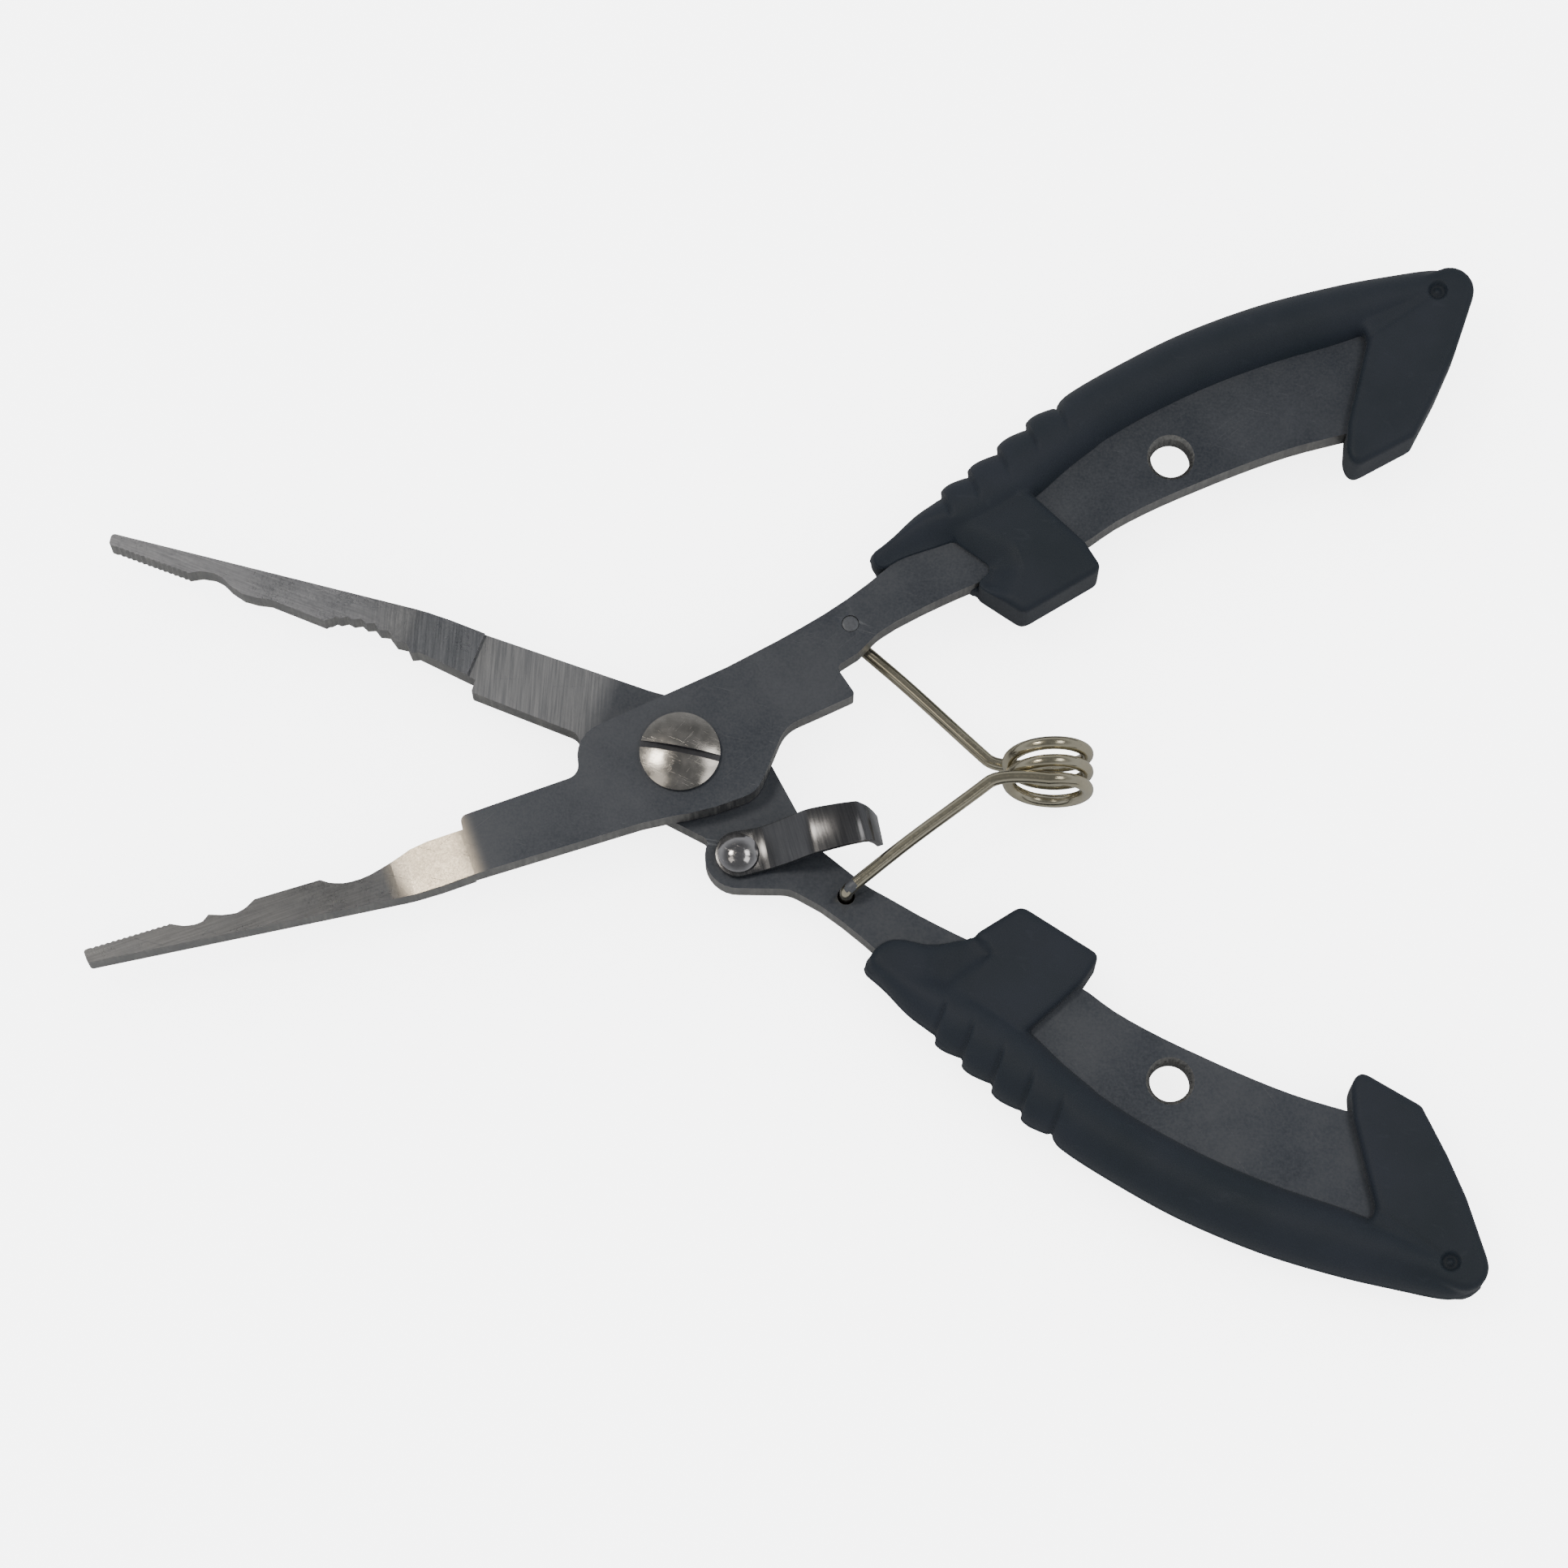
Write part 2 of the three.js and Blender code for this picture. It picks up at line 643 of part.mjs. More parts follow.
/** The rivet and the strip stand on the rear plate's inner face, at the ear. */
function latchAssembly() {
  const rivet = latchRivet();
  rivet.position.set(LATCH_PIVOT[0], -LATCH_PIVOT[1], -INNER_FACE);
  const strip = latchStrip();
  strip.position.set(LATCH_PIVOT[0], -LATCH_PIVOT[1], -INNER_FACE + GAP);
  strip.rotation.z = THREE.MathUtils.degToRad(LATCH_ANGLE + OPEN_ANGLE);
  return [rivet, strip];
}

const pliers = new THREE.Group();
pliers.position.x = PIVOT_X;
pliers.add(turnedOpen(OPEN_ANGLE, frontPlate(), grip('front_grip')));
pliers.add(turnedOpen(-OPEN_ANGLE, turnedOver(rearPlate(), grip('rear_grip')), ...latchAssembly()));
pliers.add(pivotScrew(), pivotNut());
pliers.add(springHalf('spring_rear_half'), turnedOver(springHalf('spring_front_half')));

export default pliers;
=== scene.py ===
"""Looks for the fishing pliers: metres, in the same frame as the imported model."""
import json
import math

import bmesh
import bpy
from mathutils import Euler, Matrix, Vector


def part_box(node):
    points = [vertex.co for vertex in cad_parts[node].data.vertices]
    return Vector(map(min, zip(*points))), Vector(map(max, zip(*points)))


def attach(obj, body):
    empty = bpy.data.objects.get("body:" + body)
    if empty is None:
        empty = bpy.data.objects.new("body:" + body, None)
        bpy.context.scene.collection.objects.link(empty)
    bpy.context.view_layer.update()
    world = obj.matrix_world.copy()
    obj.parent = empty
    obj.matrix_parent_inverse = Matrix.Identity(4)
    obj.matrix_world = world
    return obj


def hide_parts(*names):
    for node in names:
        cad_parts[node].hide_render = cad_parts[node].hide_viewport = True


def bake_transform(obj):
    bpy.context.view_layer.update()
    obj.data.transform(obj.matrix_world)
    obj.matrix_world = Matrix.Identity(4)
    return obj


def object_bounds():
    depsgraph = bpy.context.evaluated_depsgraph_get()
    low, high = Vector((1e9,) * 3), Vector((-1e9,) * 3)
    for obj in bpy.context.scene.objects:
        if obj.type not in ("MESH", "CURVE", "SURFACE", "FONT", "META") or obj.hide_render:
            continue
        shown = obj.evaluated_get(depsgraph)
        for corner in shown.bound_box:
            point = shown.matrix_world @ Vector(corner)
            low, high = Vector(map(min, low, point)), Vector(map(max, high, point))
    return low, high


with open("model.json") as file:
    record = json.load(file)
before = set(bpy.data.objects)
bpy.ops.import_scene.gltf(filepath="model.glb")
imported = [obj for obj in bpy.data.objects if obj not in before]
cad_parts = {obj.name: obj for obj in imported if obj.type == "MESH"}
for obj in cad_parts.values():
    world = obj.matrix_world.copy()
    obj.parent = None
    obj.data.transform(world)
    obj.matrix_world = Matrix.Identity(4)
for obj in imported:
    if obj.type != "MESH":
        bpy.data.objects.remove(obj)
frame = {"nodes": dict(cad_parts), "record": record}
cad_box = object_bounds()

MM = 0.001
WELD = 0.01 * MM  # vertices nearer than this are one
OPEN_ANGLE = math.radians(20.5)
PIVOT = Vector(frame["record"]["behaviour"]["joints"][0]["pos_m"])
HALF_GAP = 0.15  # from the middle plane to each plate, in millimetres
PLATE_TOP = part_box("front_plate")[1][2]
PLATE_MIDDLE = (PLATE_TOP + HALF_GAP * MM) / 2

# From one half, drawn closed about its pivot in millimetres, to its place in the row frame.
TURN = {
    "front": Matrix.Translation(PIVOT) @ Matrix.Rotation(OPEN_ANGLE, 4, "Z") @ Matrix.Scale(MM, 4),
    "rear": Matrix.Translation(PIVOT)
    @ Matrix.Rotation(-OPEN_ANGLE, 4, "Z")
    @ Matrix.Rotation(math.pi, 4, "X")
    @ Matrix.Scale(MM, 4),
}


# ---- materials -------------------------------------------------------------------------

# Each finish wanders between a dark and a pale tone. The two jaws are ground differently.
PLATE_DARK = (0.086, 0.096, 0.115)
PLATE_PALE = (0.113, 0.122, 0.139)
PLATE_SPECK = (0.17, 0.175, 0.187)
JAW_DARK = {"front": (0.14, 0.143, 0.15), "rear": (0.26, 0.267, 0.29)}
JAW_PALE = {"front": (0.2, 0.203, 0.21), "rear": (0.37, 0.378, 0.405)}
RAMP_REFLECTION = (0.52, 0.45, 0.355)  # painted reflection: the ramp of the front jaw's joggle, pale and warm as if it mirrored the left lamp
GROUND_DARK = (0.2, 0.208, 0.225)
GROUND_PALE = (0.31, 0.315, 0.33)


class Nodes:
    """A material under construction, with short calls for the nodes that are used here."""

    def __init__(self, name, roughness, metallic):
        self.material = bpy.data.materials.new(name)
        self.material.use_nodes = True
        self.tree = self.material.node_tree
        self.shader = self.tree.nodes["Principled BSDF"]
        self.shader.inputs["Roughness"].default_value = roughness
        self.shader.inputs["Metallic"].default_value = metallic
        self.where = self.tree.nodes.new("ShaderNodeTexCoord").outputs["Object"]

    def link(self, source, target):
        self.tree.links.new(source, target)

    def stretched(self, scale, turn_z=0.0):
        """Object coordinates turned about Z and scaled by cells per metre on each axis."""
        turned = self.tree.nodes.new("ShaderNodeMapping")
        turned.inputs["Rotation"].default_value = (0, 0, turn_z)
        self.link(self.where, turned.inputs["Vector"])
        scaled = self.tree.nodes.new("ShaderNodeMapping")
        scaled.inputs["Scale"].default_value = scale
        self.link(turned.outputs[0], scaled.inputs["Vector"])
        return scaled.outputs[0]

    def noise(self, vector, detail=3.0, roughness=0.55, distortion=0.0):
        node = self.tree.nodes.new("ShaderNodeTexNoise")
        node.inputs["Scale"].default_value = 1.0
        node.inputs["Detail"].default_value = detail
        node.inputs["Roughness"].default_value = roughness
        node.inputs["Distortion"].default_value = distortion
        self.link(vector, node.inputs["Vector"])
        return node.outputs["Fac"]

    def span(self, value, low, high, to_low, to_high, smooth=False):
        node = self.tree.nodes.new("ShaderNodeMapRange")
        node.interpolation_type = "SMOOTHSTEP" if smooth else "LINEAR"
        node.inputs["From Min"].default_value = low
        node.inputs["From Max"].default_value = high
        node.inputs["To Min"].default_value = to_low
        node.inputs["To Max"].default_value = to_high
        self.link(value, node.inputs["Value"])
        return node.outputs["Result"]

    def maths(self, operation, a, b):
        node = self.tree.nodes.new("ShaderNodeMath")
        node.operation = operation
        for value, socket in zip((a, b), node.inputs):
            if isinstance(value, (int, float)):
                socket.default_value = value
            else:
                self.link(value, socket)
        return node.outputs[0]

    def reach(self, direction):
        """Millimetres from the pivot along a direction."""
        apart = self.tree.nodes.new("ShaderNodeVectorMath")
        apart.operation = "SUBTRACT"
        apart.inputs[1].default_value = PIVOT
        self.link(self.where, apart.inputs[0])
        along = self.tree.nodes.new("ShaderNodeVectorMath")
        along.operation = "DOT_PRODUCT"
        along.inputs[1].default_value = Vector(direction) / MM
        self.link(apart.outputs[0], along.inputs[0])
        return along.outputs["Value"]

    def mix(self, factor, a, b):
        node = self.tree.nodes.new("ShaderNodeMix")
        node.data_type = "RGBA"
        sockets = (node.inputs["Factor"], node.inputs["A"], node.inputs["B"])
        for value, socket in zip((factor, a, b), sockets):
            if isinstance(value, tuple):
                socket.default_value = (*value, 1)
            elif isinstance(value, (int, float)):
                socket.default_value = value
            else:
                self.link(value, socket)
        return node.outputs["Result"]

    def color(self, value):
        self.link(value, self.shader.inputs["Base Color"])

    def rough(self, value):
        self.link(value, self.shader.inputs["Roughness"])

    def bump(self, *layers):
        """Stacked bump maps, each a pair of height and depth in metres."""
        normal = None
        for height, depth in layers:
            node = self.tree.nodes.new("ShaderNodeBump")
            node.inputs["Distance"].default_value = depth
            self.link(height, node.inputs["Height"])
            if normal:
                self.link(normal, node.inputs["Normal"])
            normal = node.outputs["Normal"]
        self.link(normal, self.shader.inputs["Normal"])


def scratches(nodes, turn_z, length, width, share):
    """A mask of sparse fine lines, running along an axis turned about Z."""
    lines = nodes.noise(nodes.stretched((1 / length, 1 / width, 1 / length), turn_z), 1.0)
    edge = 0.5 + share
    return nodes.span(lines, edge, edge + 0.04, 0.0, 1.0)


def plate_steel(half):
    """Dark tumbled steel; its jaw is brighter and ground, with cross lines at the cutter."""
    n = Nodes(f"{half}_plate_finish", 0.4, 1.0)
    side = 1 if half == "front" else -1
    turn = side * OPEN_ANGLE
    forward = n.reach((-math.cos(turn), -math.sin(turn), 0))
    jaw = n.span(forward, 30, 35, 0, 1, smooth=True)
    ramp_reflection_mask = n.maths("MULTIPLY", n.span(forward, 30, 33, 0, 1, smooth=True), n.span(forward, 43, 45.5, 1, 0))
    cutter = n.maths("MULTIPLY", n.span(forward, 12, 15, 0, 1), n.span(forward, 44, 54, 1, 0, smooth=True))
    inner = n.span(n.reach((0, 0, side)), 1.5, 2.5, 1, 0)
    cutter = n.maths("MULTIPLY", cutter, inner if half == "rear" else n.maths("MULTIPLY", inner, 0.5))
    cloud = n.noise(n.stretched((90, 90, 90)), 4.0)
    grain = n.noise(n.stretched((3200, 3200, 3200)), 2.0)
    brushed = n.noise(n.stretched((160, 4200, 900), -turn), 3.0)
    ground = n.noise(n.stretched((3600, 110, 300), 0.05), 3.0)
    stain = n.noise(n.stretched((150, 260, 200), -turn), 3.0)
    dark = n.mix(n.span(cloud, 0.35, 0.65, 0, 1), PLATE_DARK, PLATE_PALE)
    dark = n.mix(n.span(grain, 0.3, 0.7, 0.0, 0.3), dark, PLATE_SPECK)
    bright = n.mix(n.span(brushed, 0.3, 0.7, 0, 1), JAW_DARK[half], JAW_PALE[half])
    bright = n.mix(n.span(stain, 0.5, 0.7, 0, 0.25), bright, PLATE_PALE)
    # The front jaw's joggle ramp is painted pale and warm: a painted reflection of the lamp above it.
    if half == "front":
        bright = n.mix(ramp_reflection_mask, bright, RAMP_REFLECTION)
    milled = n.mix(n.span(ground, 0.35, 0.65, 0, 1), GROUND_DARK, GROUND_PALE)
    steel = n.mix(cutter, n.mix(jaw, dark, bright), milled)
    marks = n.maths(
        "MAXIMUM",
        scratches(n, 0.6 - turn, 0.009, 0.00011, 0.24),
        scratches(n, -0.35 - turn, 0.012, 0.0001, 0.25),
    )
    n.color(n.mix(n.maths("MULTIPLY", marks, 0.2), steel, (0.4, 0.4, 0.4)))
    uneven = n.maths("ADD", n.span(cloud, 0.3, 0.7, 0.38, 0.46), n.span(grain, 0.3, 0.7, -0.03, 0.05))
    n.rough(n.maths("SUBTRACT", uneven, n.maths("MULTIPLY", jaw, 0.11)))
    lines = n.maths("MULTIPLY", brushed, n.span(jaw, 0, 1, 0.15, 0.6))
    milling = n.maths("MULTIPLY", ground, cutter)
    n.bump((grain, 0.000005), (lines, 0.000006), (milling, 0.000012), (marks, -0.00001))
    return n.material


def cut_steel_and_rim_highlight(name):
    """The stamped side walls: bare, lighter, with fine lines through the thickness. On the plates' rounded
    rims its lighter tone is a painted highlight.
    """
    n = Nodes(name, 0.4, 1.0)
    sheared = n.noise(n.stretched((2600, 2600, 140)), 3.0)
    cloud = n.noise(n.stretched((260, 260, 260)), 3.0)
    tone = n.mix(n.span(sheared, 0.3, 0.7, 0, 1), (0.17, 0.167, 0.16), (0.34, 0.335, 0.315))
    n.color(n.mix(n.span(cloud, 0.35, 0.7, 0.0, 0.5), tone, (0.14, 0.14, 0.145)))
    n.rough(n.span(sheared, 0.3, 0.7, 0.3, 0.5))
    n.bump((sheared, 0.000025))
    return n.material


def polished_steel(name, low, high, roughness):
    """Bright turned steel with hairline scratches and a slight bloom."""
    n = Nodes(name, roughness, 1.0)
    cloud = n.noise(n.stretched((420, 420, 420)), 4.0)
    fine = n.noise(n.stretched((500, 5200, 1500)), 2.0)
    hairs = n.maths(
        "MAXIMUM",
        scratches(n, 0.4, 0.004, 0.00006, 0.2),
        scratches(n, -0.9, 0.005, 0.00005, 0.21),
    )
    n.color(n.mix(n.span(cloud, 0.35, 0.65, 0, 1), low, high))
    bloom = n.span(cloud, 0.3, 0.7, roughness - 0.05, roughness + 0.08)
    n.rough(n.maths("ADD", bloom, n.maths("MULTIPLY", hairs, 0.08)))
    n.bump((fine, 0.000005), (hairs, -0.000003))
    return n.material


def rolled_steel(name, turn_z):
    """Cold rolled strip: mid grey, with straight fine lines across its length."""
    n = Nodes(name, 0.24, 1.0)
    lines = n.noise(n.stretched((4200, 90, 300), turn_z), 3.0)
    cloud = n.noise(n.stretched((300, 300, 300)), 3.0)
    tone = n.mix(n.span(lines, 0.3, 0.7, 0, 1), (0.125, 0.125, 0.132), (0.19, 0.19, 0.194))
    n.color(n.mix(n.span(cloud, 0.4, 0.7, 0.0, 0.4), tone, (0.12, 0.122, 0.128)))
    n.rough(n.span(lines, 0.3, 0.7, 0.2, 0.27))
    n.bump((lines, 0.0000035))
    return n.material


def drawn_wire(name):
    """Drawn spring wire: warm and bright, with only the faintest clouding."""
    n = Nodes(name, 0.17, 1.0)
    cloud = n.noise(n.stretched((150, 150, 150)), 3.0)
    fine = n.noise(n.stretched((2600, 2600, 2600)), 2.0)
    n.color(n.mix(n.span(cloud, 0.35, 0.65, 0, 1), (0.52, 0.475, 0.35), (0.62, 0.575, 0.44)))
    n.rough(n.span(fine, 0.3, 0.7, 0.14, 0.22))
    n.bump((fine, 0.000001))
    return n.material


def plain_steel(name, color, roughness):
    """Flat dark steel with a little grain: painted shade deep in the screw's slot, and the dark peened wire
    ends.
    """
    n = Nodes(name, roughness, 0.6)
    grain = n.noise(n.stretched((2400, 2400, 2400)), 2.0)
    n.color(n.mix(grain, color, tuple(2 * c for c in color)))
    return n.material


def soft_rubber(name):
    """Matt moulded rubber: very dark blue-black, a fine pebble, dust and rubbed patches."""
    n = Nodes(name, 0.6, 0.0)
    n.shader.inputs["Specular IOR Level"].default_value = 0.32
    n.shader.inputs["Sheen Weight"].default_value = 0.03
    n.shader.inputs["Sheen Roughness"].default_value = 0.5
    cloud = n.noise(n.stretched((70, 70, 70)), 4.0)
    pebble = n.noise(n.stretched((4200, 4200, 4200)), 2.0)
    swirl = n.noise(n.stretched((300, 700, 500), 0.3), 3.0, 0.6, 0.6)
    base = n.mix(n.span(cloud, 0.35, 0.65, 0, 1), (0.004, 0.0078, 0.0125), (0.0065, 0.0098, 0.0165))
    dust = n.span(swirl, 0.62, 0.8, 0.0, 0.35)
    n.color(n.mix(dust, base, (0.014, 0.018, 0.024)))
    n.rough(n.maths("ADD", n.span(cloud, 0.3, 0.7, 0.52, 0.66), n.span(pebble, 0.3, 0.7, -0.04, 0.04)))
    n.bump((pebble, 0.00003), (swirl, 0.000015))
    return n.material


# ---- mesh helpers ----------------------------------------------------------------------


def new_object(name, mesh, *materials):
    piece = bpy.data.objects.new(name, mesh)
    bpy.context.scene.collection.objects.link(piece)
    for material in materials:
        mesh.materials.append(material)
    return piece


def finished(bm, name, smooth_angle=35.0):
    """A mesh from bmesh, smooth but for its sharp edges."""
    limit = math.radians(smooth_angle)
    bm.normal_update()
    for face in bm.faces:
        face.smooth = True
    for edge in bm.edges:
        edge.smooth = len(edge.link_faces) == 2 and edge.calc_face_angle(0) < limit
    mesh = bpy.data.meshes.new(name)
    bm.to_mesh(mesh)
    bm.free()
    return mesh


def modified(piece, kind, **settings):
    """The mesh of a piece after one modifier, as a new bmesh."""
    modifier = piece.modifiers.new(kind, kind)
    for key, value in settings.items():
        setattr(modifier, key, value)
    seen = piece.evaluated_get(bpy.context.evaluated_depsgraph_get())
    bm = bmesh.new()
    bm.from_mesh(seen.to_mesh())
    seen.to_mesh_clear()
    piece.modifiers.remove(modifier)
    return bm


def scratch_object(bm, name):
    mesh = bpy.data.meshes.new(name)
    bm.to_mesh(mesh)
    bm.free()
    return new_object(name, mesh)


def flatten_shading(piece):
    """Large faces shade flat, and only the narrow ones round an edge turn the light."""
    modifier = piece.modifiers.new("flat_faces", "WEIGHTED_NORMAL")
    modifier.keep_sharp = True


def discard(*pieces):
    for piece in pieces:
        bpy.data.objects.remove(piece)


def node_copy(node):
    """A CAD node's mesh with its flat faces joined up again."""
    bm = bmesh.new()
    bm.from_mesh(frame["nodes"][node].data)
    bmesh.ops.remove_doubles(bm, verts=bm.verts, dist=WELD)
    bmesh.ops.dissolve_limit(
        bm, angle_limit=math.radians(0.6), verts=bm.verts, edges=bm.edges, use_dissolve_boundaries=False
    )
    return bm


def round_edges(bm, edges, width, segments, profile=0.5):
    bmesh.ops.bevel(
        bm, geom=edges, offset=width, offset_type="OFFSET", segments=segments, profile=profile,
        affect="EDGES", clamp_overlap=True, material=-1,
    )


def split_large_faces(bm):
    """Leaves nothing but triangles and quads."""
    bmesh.ops.triangulate(bm, faces=[face for face in bm.faces if len(face.verts) > 4])


def lathe(bm, profile, centre, sides):
    """A turned solid from a profile of (radius, height) that starts and ends on the axis."""
    angles = [2 * math.pi * i / sides for i in range(sides)]
    rings = []
    for radius, height in profile:
        if radius == 0:
            rings.append([bm.verts.new(centre + Vector((0, 0, height)))])
            continue
        places = [Vector((radius * math.cos(a), radius * math.sin(a), height)) for a in angles]
        rings.append([bm.verts.new(centre + place) for place in places])
    for low, high in zip(rings, rings[1:]):
        for i in range(sides):
            j = (i + 1) % sides
            corners = [low[i % len(low)], low[j % len(low)], high[j % len(high)], high[i % len(high)]]
            bm.faces.new(list(dict.fromkeys(corners)))
    bmesh.ops.recalc_face_normals(bm, faces=bm.faces)


def rim_arc(radius, height, corner):
    """Profile points round the small corner at the foot of a rim, up to its widest line."""
    steps = 4
    points = []
    for i in range(steps + 1):
        angle = math.radians(-60 + 60 * i / steps)
        points.append((radius - corner + corner * math.cos(angle), height + corner * math.sin(angle)))
    return points


def dome(radius, rim_height, rise, steps):
    """Profile points of a shallow dome, from its rim up to the axis."""
    sphere = (radius**2 + rise**2) / (2 * rise)
    points = []
    for i in range(steps + 1):
        r = radius * (1 - i / steps)
        points.append((r, rim_height + rise - sphere + math.sqrt(sphere**2 - r**2)))
    return points


def swept(bm, path, radius, sides, spread):
    """A wire along a list of points, without twist, that widens at its first and last points."""
    before, after = [path[0], *path[:-1]], [*path[1:], path[-1]]
    tangents = [(ahead - behind).normalized() for behind, ahead in zip(before, after)]
    side = tangents[0].orthogonal().normalized()
    rings = []
    for point, along in zip(path, tangents):
        side = (side - along * side.dot(along)).normalized()
        across = along.cross(side)
        rings.append((point, side.copy(), across, along))
    loops = []
    for index, (point, side, across, along) in enumerate(rings):
        from_end = min(index, len(rings) - 1 - index)
        widest = spread[from_end] if from_end < len(spread) else 1.0
        shrink, shift = [(1.0, 0.0)], 0.0
        if from_end == 0:
            shrink = [(math.cos(a), math.sin(a) * 0.1) for a in (0, 0.4, 0.8)]
            shrink = shrink if index else shrink[::-1]
            shift = 1.0 if index else -1.0
        for scale, out in shrink:
            centre = point + along * (out * shift * radius)
            scale *= widest
            ring = []
            for k in range(sides):
                angle = 2 * math.pi * k / sides
                spoke = side * math.cos(angle) + across * math.sin(angle)
                ring.append(bm.verts.new(centre + spoke * radius * scale))
            loops.append(ring)
    for low, high in zip(loops, loops[1:]):
        for k in range(sides):
            j = (k + 1) % sides
            bm.faces.new([low[k], low[j], high[j], high[k]])
    bm.faces.new(loops[0])
    bm.faces.new(loops[-1])
    bmesh.ops.recalc_face_normals(bm, faces=bm.faces)


def smooth_step(value, low, high):
    t = min(1.0, max(0.0, (value - low) / (high - low)))
    return t * t * (3 - 2 * t)


def bezier(a, b, c, steps):
    points = []
    for i in range(steps + 1):
        t = i / steps
        points.append(a * (1 - t) ** 2 + b * 2 * t * (1 - t) + c * t * t)
    return points


# ---- plates ----------------------------------------------------------------------------

PLATE_EDGE = 0.22  # the width of the rounding, in millimetres
GRIPPING_X, GRIPPING_Y = -40.5, -2.6  # a closed half's serrations are beyond both and stay sharp
PIVOT_BORE = 3.6  # more than the bore's radius; its edge stays sharp


def bevelled_plate(half):
    """The stamped plate with its long edges rounded over, and its cut walls and rounded rims given the
    lighter cut steel, which on the rims is a painted highlight.
    """
    bm = node_copy(f"{half}_plate")
    to_closed = TURN[half].inverted()

    def is_plain_edge(edge):
        if len(edge.link_faces) != 2 or edge.calc_face_angle(0) < math.radians(28):
            return False
        if not edge.is_convex:
            return False
        middle = to_closed @ ((edge.verts[0].co + edge.verts[1].co) / 2)
        is_gripping = middle.x < GRIPPING_X and middle.y > GRIPPING_Y
        along_face = abs(edge.verts[0].co.z - edge.verts[1].co.z) < 0.3 * MM
        in_bore = middle.xy.length < PIVOT_BORE
        return along_face and not is_gripping and not in_bore and edge.calc_length() > 0.1 * MM

    edges = [edge for edge in bm.edges if is_plain_edge(edge)]
    round_edges(bm, edges, PLATE_EDGE * MM, 2, profile=0.6)
    split_large_faces(bm)
    bm.normal_update()
    for face in bm.faces:
        # Walls take the bare cut steel; the rounded rims take it too, as a painted highlight along the edges.
        is_wall_or_highlit_rim = abs(face.normal.z) < 0.9
        face.material_index = 1 if is_wall_or_highlit_rim else 0
    return bm


def add_plate(half):
    mesh = finished(bevelled_plate(half), f"{half}_plate_steel")
    piece = new_object(f"{half}_plate_steel", mesh, plate_steel(half), CUT_AND_RIM_HIGHLIGHT)
    flatten_shading(piece)
    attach(piece, f"{half}_half")
    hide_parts(f"{half}_plate")


# ---- grips -----------------------------------------------------------------------------

# Everything here is in a closed half, in millimetres. The back is lofted between pairs of
# points, one on its outer edge and one on its inner crease.
BACK = [
    ((36.9, 19.4), (36.9, 15.9)),
    ((39.4, 20.4), (40.0, 16.4)),
    ((43.6, 22.4), (45.6, 16.3)),
    ((48.0, 23.7), (51.0, 16.4)),
    ((52.7, 25.4), (56.0, 17.4)),
    ((57.9, 27.3), (61.3, 18.9)),
    ((63.1, 29.4), (66.4, 21.1)),
    ((68.3, 31.2), (71.2, 22.8)),
    ((70.6, 32.5), (73.6, 23.6)),
    ((78.0, 34.1), (80.4, 25.0)),
    ((89.0, 35.7), (90.4, 26.2)),
    ((101.0, 36.1), (100.6, 26.5)),
    ((112.0, 35.3), (110.6, 26.1)),
    ((121.0, 34.0), (119.3, 26.4)),
    ((127.6, 32.8), (125.6, 26.2)),
    ((130.7, 31.0), (128.6, 27.1)),
]
NOTCHES = (48.0, 52.7, 57.9, 63.1, 68.3)
RIB_HEIGHT = 1.0
ROLL_HALF = 5.8  # half thickness of the rounded back, of the flat flanks and of the thin lip
FLANK_HALF = 4.5
LIP_HALF = 2.4
CAP_DEPTH = 1.7
VOXEL = 0.27

GUARD = [
    (57.0, 25.0), (60.6, 18.4), (64.9, 9.8), (65.9, 5.2), (52.9, 2.5), (48.0, 9.2), (51.3, 10.8),
    (47.6, 16.2), (46.5, 21.5),
]
TAIL_CENTRE, TAIL_RADIUS = (128.4, 28.3), 3.5
TAIL = [
    (TAIL_CENTRE[0] + TAIL_RADIUS * math.cos(a), TAIL_CENTRE[1] + TAIL_RADIUS * math.sin(a))
    for a in (math.radians(80 - 20 * i) for i in range(7))
]
HOOK = [
    (107.0, 14.2), (114.4, 25.3), (113.0, 31.0), (122.0, 31.7), *TAIL,
    (125.5, 19.0), (121.0, 14.3), (115.3, 9.0), (105.6, 7.4), (104.9, 9.6),
]
WEB = [
    (36.9, 14.6), (37.5, 13.6), (39.0, 12.9), (42.1, 12.5), (44.4, 11.5), (46.4, 10.1), (48.4, 9.1),
    (52.0, 10.0), (51.5, 17.0), (44.0, 18.5), (38.0, 17.5),
]
WEB_HEIGHT = 3.4
NOSE = [(35.5, 18.2), (35.7, 15.8), (37.1, 13.8), (40.6, 12.7), (43.6, 13.2), (44.5, 18.5), (38.0, 19.0)]
NOSE_HEIGHT = 4.2
COVE = [(36.5, 16.2), (40.0, 16.9), (43.6, 16.7), (46.8, 15.2), (49.4, 12.6), (51.3, 10.6), (50.0, 9.0)]
PIN_MARK = Vector((126.4, 28.5))


def spline(points, count):
    """Evenly spaced samples of a smooth curve through the points (Catmull-Rom)."""
    padded = [points[0] * 2 - points[1], *points, points[-1] * 2 - points[-2]]
    out = []
    for i in range(count + 1):
        t = i / count * (len(points) - 1)
        k = min(int(t), len(points) - 2)
        u = t - k
        a, b, c, d = padded[k : k + 4]
        out.append(
            (b * 2 + (c - a) * u + (a * 2 - b * 5 + c * 4 - d) * u**2 + (b * 3 - a - c * 3 + d) * u**3) / 2
        )
    return out


def rib_rise(x):
    """How far a rib stands out at this station: steep at its front, falling to the next notch."""
    for left, right in zip(NOTCHES, NOTCHES[1:]):
        if left <= x < right:
            t = (x - left) / (right - left)
            return RIB_HEIGHT * math.sin(math.pi * t**0.62)
    return 0.0


